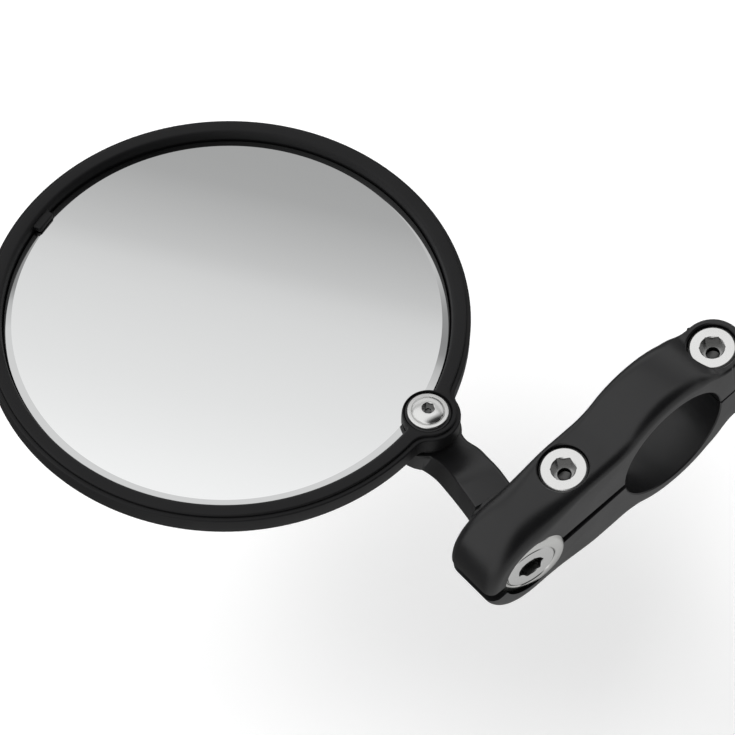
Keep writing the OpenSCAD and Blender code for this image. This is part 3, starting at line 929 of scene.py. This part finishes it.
class MIRROR_OT_back_shell(bpy.types.Operator):
    """Builds the domed back shell with its pivot boss"""
    bl_idname = "mirror.back_shell"
    bl_label = "Back shell"

    def execute(self, context):
        h = context.scene.head_sizes
        boss_r = h.boss_r
        lip_top = h.band_top - LIP_TOP_DROP
        glass_bottom = h.band_top - h.glass_sink - h.glass_t
        ring_seat = glass_bottom + RING_SEAT_LIFT
        ledge = glass_bottom - 0.2
        recess_r = h.glass_r + RECESS_GAP
        dome_r = h.reach - 6.1
        curve = (dome_r ** 2 + h.dome_h ** 2) / (2 * h.dome_h)
        centre_z = h.bottom - h.dome_h + curve
        count = BIG_STEPS + 2 * FILLET_STEPS + BOSS_STEPS

        def outer(inset, z):
            return at_height(boss_outline(h, h.outer_r - inset, boss_r - inset, OUTER_FILLET + inset, 1), z)

        def round_at(radius, z):
            return at_height(circle_like(h, radius, count), z)

        levels = []
        tip_angle = math.asin(dome_r / curve)
        for i in range(1, 15):
            a = tip_angle * i / 14
            levels.append(round_at(curve * math.sin(a), centre_z - curve * math.cos(a)))
        corner = 1.3
        for k in range(7):
            a = math.pi / 2 * k / 6
            levels.append(outer(corner * (1 - math.sin(a)), h.bottom + corner * (1 - math.cos(a))))
        lip_edge = 0.3
        for k in range(6):
            a = math.pi / 2 * k / 5
            levels.append(outer(lip_edge * (1 - math.cos(a)), lip_top - lip_edge * (1 - math.sin(a))))
        levels.append(outer(LIP_W, lip_top))
        levels.append(outer(LIP_W, ring_seat))
        levels.append(round_at(recess_r, ring_seat))
        levels.append(round_at(recess_r, ledge))
        hollow_r = dome_r - 1.2
        levels.append(round_at(hollow_r, ledge))
        inner = curve - 1.2
        inner_angle = math.asin(hollow_r / inner)
        for i in range(12, 0, -1):
            a = inner_angle * i / 12
            levels.append(round_at(inner * math.sin(a), centre_z - inner * math.cos(a)))
        shell = loft(levels)
        post = rod(boss_r - LIP_W - NECK_STEP, h.bottom + 0.1, ring_seat, 72)
        post = moved(post, 0, -BOSS_SHIFT)
        bore = rod(BUSH_R + RUN_GAP, -9, 9, 64)
        shell = cut(join(shell, post), bore)
        finish_piece(shell, "domed_back_shell", "head", "back_shell", "housing_plastic")
        return {"FINISHED"}


class MIRROR_OT_front_ring(bpy.types.Operator):
    """Builds the front ring with its pivot boss and glass tab"""
    bl_idname = "mirror.front_ring"
    bl_label = "Front ring"

    def execute(self, context):
        h = context.scene.head_sizes
        ring_r = h.outer_r - LIP_W - 0.05
        boss_r = h.boss_r - LIP_W
        recess_r = h.glass_r + RECESS_GAP
        glass_top = h.band_top - h.glass_sink
        seat = glass_top - h.glass_t + RING_SEAT_LIFT
        underside = glass_top + FACE_GAP
        edge = 0.3

        def outer(inset, z):
            return at_height(boss_outline(h, ring_r - inset, boss_r - inset,
                                          OUTER_FILLET + LIP_W + inset, 1), z)

        def inner(spread, z, boss=boss_r, fillet=0.3):
            line = boss_outline(h, recess_r + spread, boss - 0.3 * spread, fillet + spread, -1)
            return at_height(line, z)

        levels = [outer(0, seat)]
        for k in range(6):
            a = math.pi / 2 * k / 5
            levels.append(outer(edge * (1 - math.cos(a)), h.band_top - edge * (1 - math.sin(a))))
        for spread, drop in ((0.8, 0.0), (0.55, 0.08), (0.3, 0.3), (0.12, 0.65)):
            levels.append(inner(spread, h.band_top - drop))
        levels.append(inner(0.0, underside))
        levels.append(inner(0.0, underside, boss_r - NECK_STEP, 0.1))
        levels.append(inner(0.0, seat, boss_r - NECK_STEP, 0.1))
        levels.append(levels[0])
        ring = loft(levels, cap_low=False, cap_high=False)

        floor, bush_hole = h.band_top - RECESS_DEPTH, BUSH_R + RUN_GAP
        pocket = lathe([(0, -9), (bush_hole, -9), (bush_hole, floor), (4.15, floor),
                        (4.15, h.band_top - 0.2), (4.28, h.band_top + 0.01),
                        (4.28, h.band_top + 4), (0, h.band_top + 4)], 96)
        ring = cut(ring, pocket)

        tab_w, tab_reach, tab_top = 4.0, 1.4, underside + 1.0
        tip = h.reach + recess_r - tab_reach
        root = h.reach + recess_r + 0.6
        plan = rounded([(0, root, 0), (-tab_w / 2 - 0.3, root, 0), (-tab_w / 2, tip, 0.35),
                        (tab_w / 2, tip, 0.35), (tab_w / 2 + 0.3, root, 0), (0.01, root, 0)], 4)
        tab = slab(plan, underside, tab_top, [0.02] * len(plan), [0.25] * len(plan), 4)
        ring = join(ring, tab)
        finish_piece(ring, "front_ring_with_tab", "head", "front_ring", "ring_plastic")
        return {"FINISHED"}


class MIRROR_OT_glass(bpy.types.Operator):
    """Builds the glass with its bevelled edge"""
    bl_idname = "mirror.glass"
    bl_label = "Glass"

    def execute(self, context):
        h = context.scene.head_sizes
        top = h.band_top - h.glass_sink
        bottom = top - h.glass_t
        bevel_w, bevel_h = 1.3, 0.25
        r = h.glass_r
        disc = lathe([(0, bottom), (r - 0.1, bottom), (r, bottom + 0.1), (r, top - bevel_h - 0.1),
                      (r - 0.06, top - bevel_h), (r - bevel_w, top), (0, top)], 256)
        disc = moved(disc, 0, h.reach)
        notch_r = h.boss_r - LIP_W - NECK_STEP + 0.25
        notch = moved(rod(notch_r, bottom - 1, top + 1, 96), 0, -BOSS_SHIFT)
        disc = mark(cut(disc, notch), "bevel", lambda middle, normal:
                    middle.z > top - bevel_h - 0.05 and normal.z < 0.995)
        finish_piece(disc, "bevelled_mirror_glass", "head", "mirror_glass",
                     "mirror_silver", math.radians(8))
        dress_node("adhesive_ring", "adhesive")
        return {"FINISHED"}


# ---------------------------------------------------------------- stage

# Metres from the clamp's lowest point to the floor, so that the head can tilt, spin or swivel down
FLOOR_DROP = 0.062


class MIRROR_OT_stage(bpy.types.Operator):
    """Builds the pale floor, the soft lights, the sky and the camera"""
    bl_idname = "mirror.stage"
    bl_label = "Stage, lights and camera"

    def execute(self, context):
        scene = context.scene
        floor_z = cad_low.z - FLOOR_DROP
        bm = bmesh.new()
        bmesh.ops.create_grid(bm, x_segments=1, y_segments=1, size=3.0)
        turned(bm, Matrix.Translation((0, 0, floor_z)))
        mesh = bpy.data.meshes.new("pale_floor")
        bm.to_mesh(mesh)
        bm.free()
        floor = bpy.data.objects.new("pale_floor", mesh)
        scene.collection.objects.link(floor)
        paper, _, shader = start_material("matt_white_paper", linear("#fbfbfb"), 0.0, 0.9)
        shader.inputs["Specular IOR Level"].default_value = 0.1
        shader.inputs["Emission Color"].default_value = (1, 1, 1, 1)
        shader.inputs["Emission Strength"].default_value = 0.12
        mesh.materials.append(paper)
        floor.visible_glossy = False
        self.sky(scene)
        self.lamps(scene)
        self.camera(scene)
        scene.view_settings.view_transform = "Standard"
        return {"FINISHED"}

    def sky(self, scene):
        """Studio sky: a wide bright panel with a soft edge, a dark patch behind the camera, dim below."""
        world = bpy.data.worlds.new("studio_sky")
        scene.world = world
        world.use_nodes = True
        tree = world.node_tree
        place = add_node(tree, "ShaderNodeTexCoord")
        way = place.outputs["Generated"]
        panel = add_node(tree, "ShaderNodeVectorMath",
                         {"operation": "DOT_PRODUCT", 1: (-0.55, -0.47, 0.69)}, {0: way})
        share = add_node(tree, "ShaderNodeMapRange", {"From Min": -1.0, "From Max": 1.0},
                         {"Value": panel.outputs["Value"]})
        ramp = add_node(tree, "ShaderNodeValToRGB", links={0: share.outputs["Result"]})
        stops = [(0.0, 0.8), (0.4, 0.8), (0.45, 0.45), (0.485, 0.39), (0.4993, 0.413), (0.5025, 0.47),
                 (0.5057, 0.512), (0.5122, 0.61), (0.5154, 0.697), (0.5187, 0.742), (0.5252, 0.789),
                 (0.5349, 0.846), (0.5446, 0.923), (0.55, 0.98), (1.0, 1.0)]
        elements = ramp.color_ramp.elements
        while len(elements) < len(stops):
            elements.new(0.5)
        for element, (position, value) in zip(elements, stops):
            element.position = position
            element.color = (value, value, value, 1)
        patch = add_node(tree, "ShaderNodeVectorMath",
                         {"operation": "DOT_PRODUCT", 1: (0.2, -0.87, 0.45)}, {0: way})
        shade = add_node(tree, "ShaderNodeMapRange",
                         {"From Min": 0.55, "From Max": 0.85, "To Min": 1.0, "To Max": 0.03},
                         {"Value": patch.outputs["Value"]})
        upper = add_node(tree, "ShaderNodeMath", {"operation": "MULTIPLY"},
                         {0: ramp.outputs["Color"], 1: shade.outputs["Result"]})
        split = add_node(tree, "ShaderNodeSeparateXYZ", links={0: way})
        lower = add_node(tree, "ShaderNodeMapRange",
                         {"From Min": -0.5, "From Max": 0.3, "To Min": 0.6, "To Max": 0.12},
                         {"Value": split.outputs["Y"]})
        below = add_node(tree, "ShaderNodeMapRange",
                         {"From Min": 0.03, "From Max": -0.03, "To Min": 0.0, "To Max": 1.0},
                         {"Value": split.outputs["Z"]})
        whole = add_node(tree, "ShaderNodeMix", {"data_type": "FLOAT"},
                         {0: below.outputs["Result"], 2: upper.outputs["Value"],
                          3: lower.outputs["Result"]})
        tree.links.new(whole.outputs[0], tree.nodes["Background"].inputs["Strength"])
        tree.nodes["Background"].inputs["Color"].default_value = (1, 1, 1, 1)

    def lamps(self, scene):
        """Two large soft boxes."""
        self.soft_box(scene, "key_softbox", (-0.25, 0.55, 0.75), (0.6, 0.6), 4.5)
        self.soft_box(scene, "fill_softbox", (0.6, -0.5, 0.7), (0.5, 0.5), 2.0)

    def soft_box(self, scene, name, place, size, power):
        """A rectangular area light that faces the object."""
        light = bpy.data.lights.new(name, "AREA")
        light.shape, light.energy = "RECTANGLE", power
        light.size, light.size_y = size
        lamp = bpy.data.objects.new(name, light)
        scene.collection.objects.link(lamp)
        lamp.visible_glossy = False
        lamp.location = place
        lamp.rotation_mode = "QUATERNION"
        lamp.rotation_quaternion = (-Vector(place)).to_track_quat("-Z", "Y")

    def camera(self, scene):
        """Long lens from above and in front of the clamp."""
        target = Vector((-27.57, 43.08, 0.0)) * MM
        turn, height, roll = math.radians(-25.946), math.radians(61.031), math.radians(-16.955)
        distance = 525.9 * MM
        back = Vector((math.sin(turn) * math.cos(height), -math.cos(turn) * math.cos(height),
                       math.sin(height)))
        data = bpy.data.cameras.new("camera")
        data.sensor_width = 36.0
        data.lens = 146.94
        camera = bpy.data.objects.new("camera", data)
        scene.collection.objects.link(camera)
        camera.rotation_mode = "QUATERNION"
        camera.location = target + back * distance
        level = (-back).to_track_quat("-Z", "Y").to_matrix().to_4x4()
        camera.rotation_quaternion = (level @ Matrix.Rotation(roll, 4, "Z")).to_quaternion()
        scene.camera = camera


# ---------------------------------------------------------------- panel and registration

class MIRROR_PT_panel(bpy.types.Panel):
    """Lists the steps that build the mirror"""
    bl_idname = "MIRROR_PT_panel"
    bl_label = "Bar-end Mirror"
    bl_space_type = "VIEW_3D"
    bl_region_type = "UI"
    bl_category = "Bar-end Mirror"

    def draw(self, context):
        for step in STEPS:
            self.layout.operator(step.bl_idname)


STEPS = (MIRROR_OT_clamp, MIRROR_OT_clamp_screws, MIRROR_OT_ball, MIRROR_OT_arm, MIRROR_OT_pivot,
         MIRROR_OT_back_shell, MIRROR_OT_front_ring, MIRROR_OT_glass, MIRROR_OT_stage)
GROUPS = {"clamp_sizes": ClampSizes, "arm_sizes": ArmSizes, "head_sizes": HeadSizes,
          "mirror_colours": Colours}


def register():
    """Registers the classes and the scene's settings."""
    for cls in (*GROUPS.values(), *STEPS, MIRROR_PT_panel):
        bpy.utils.register_class(cls)
    for name, cls in GROUPS.items():
        setattr(bpy.types.Scene, name, PointerProperty(type=cls))


def unregister():
    """Takes back what register did."""
    for name in GROUPS:
        delattr(bpy.types.Scene, name)
    for cls in (MIRROR_PT_panel, *reversed(STEPS), *reversed(list(GROUPS.values()))):
        bpy.utils.unregister_class(cls)


def main():
    """Builds everything in order."""
    register()
    bpy.ops.mirror.clamp()
    bpy.ops.mirror.clamp_screws()
    bpy.ops.mirror.ball()
    bpy.ops.mirror.arm()
    bpy.ops.mirror.pivot()
    bpy.ops.mirror.back_shell()
    bpy.ops.mirror.front_ring()
    bpy.ops.mirror.glass()
    bpy.ops.mirror.stage()


if __name__ == "__main__":
    main()
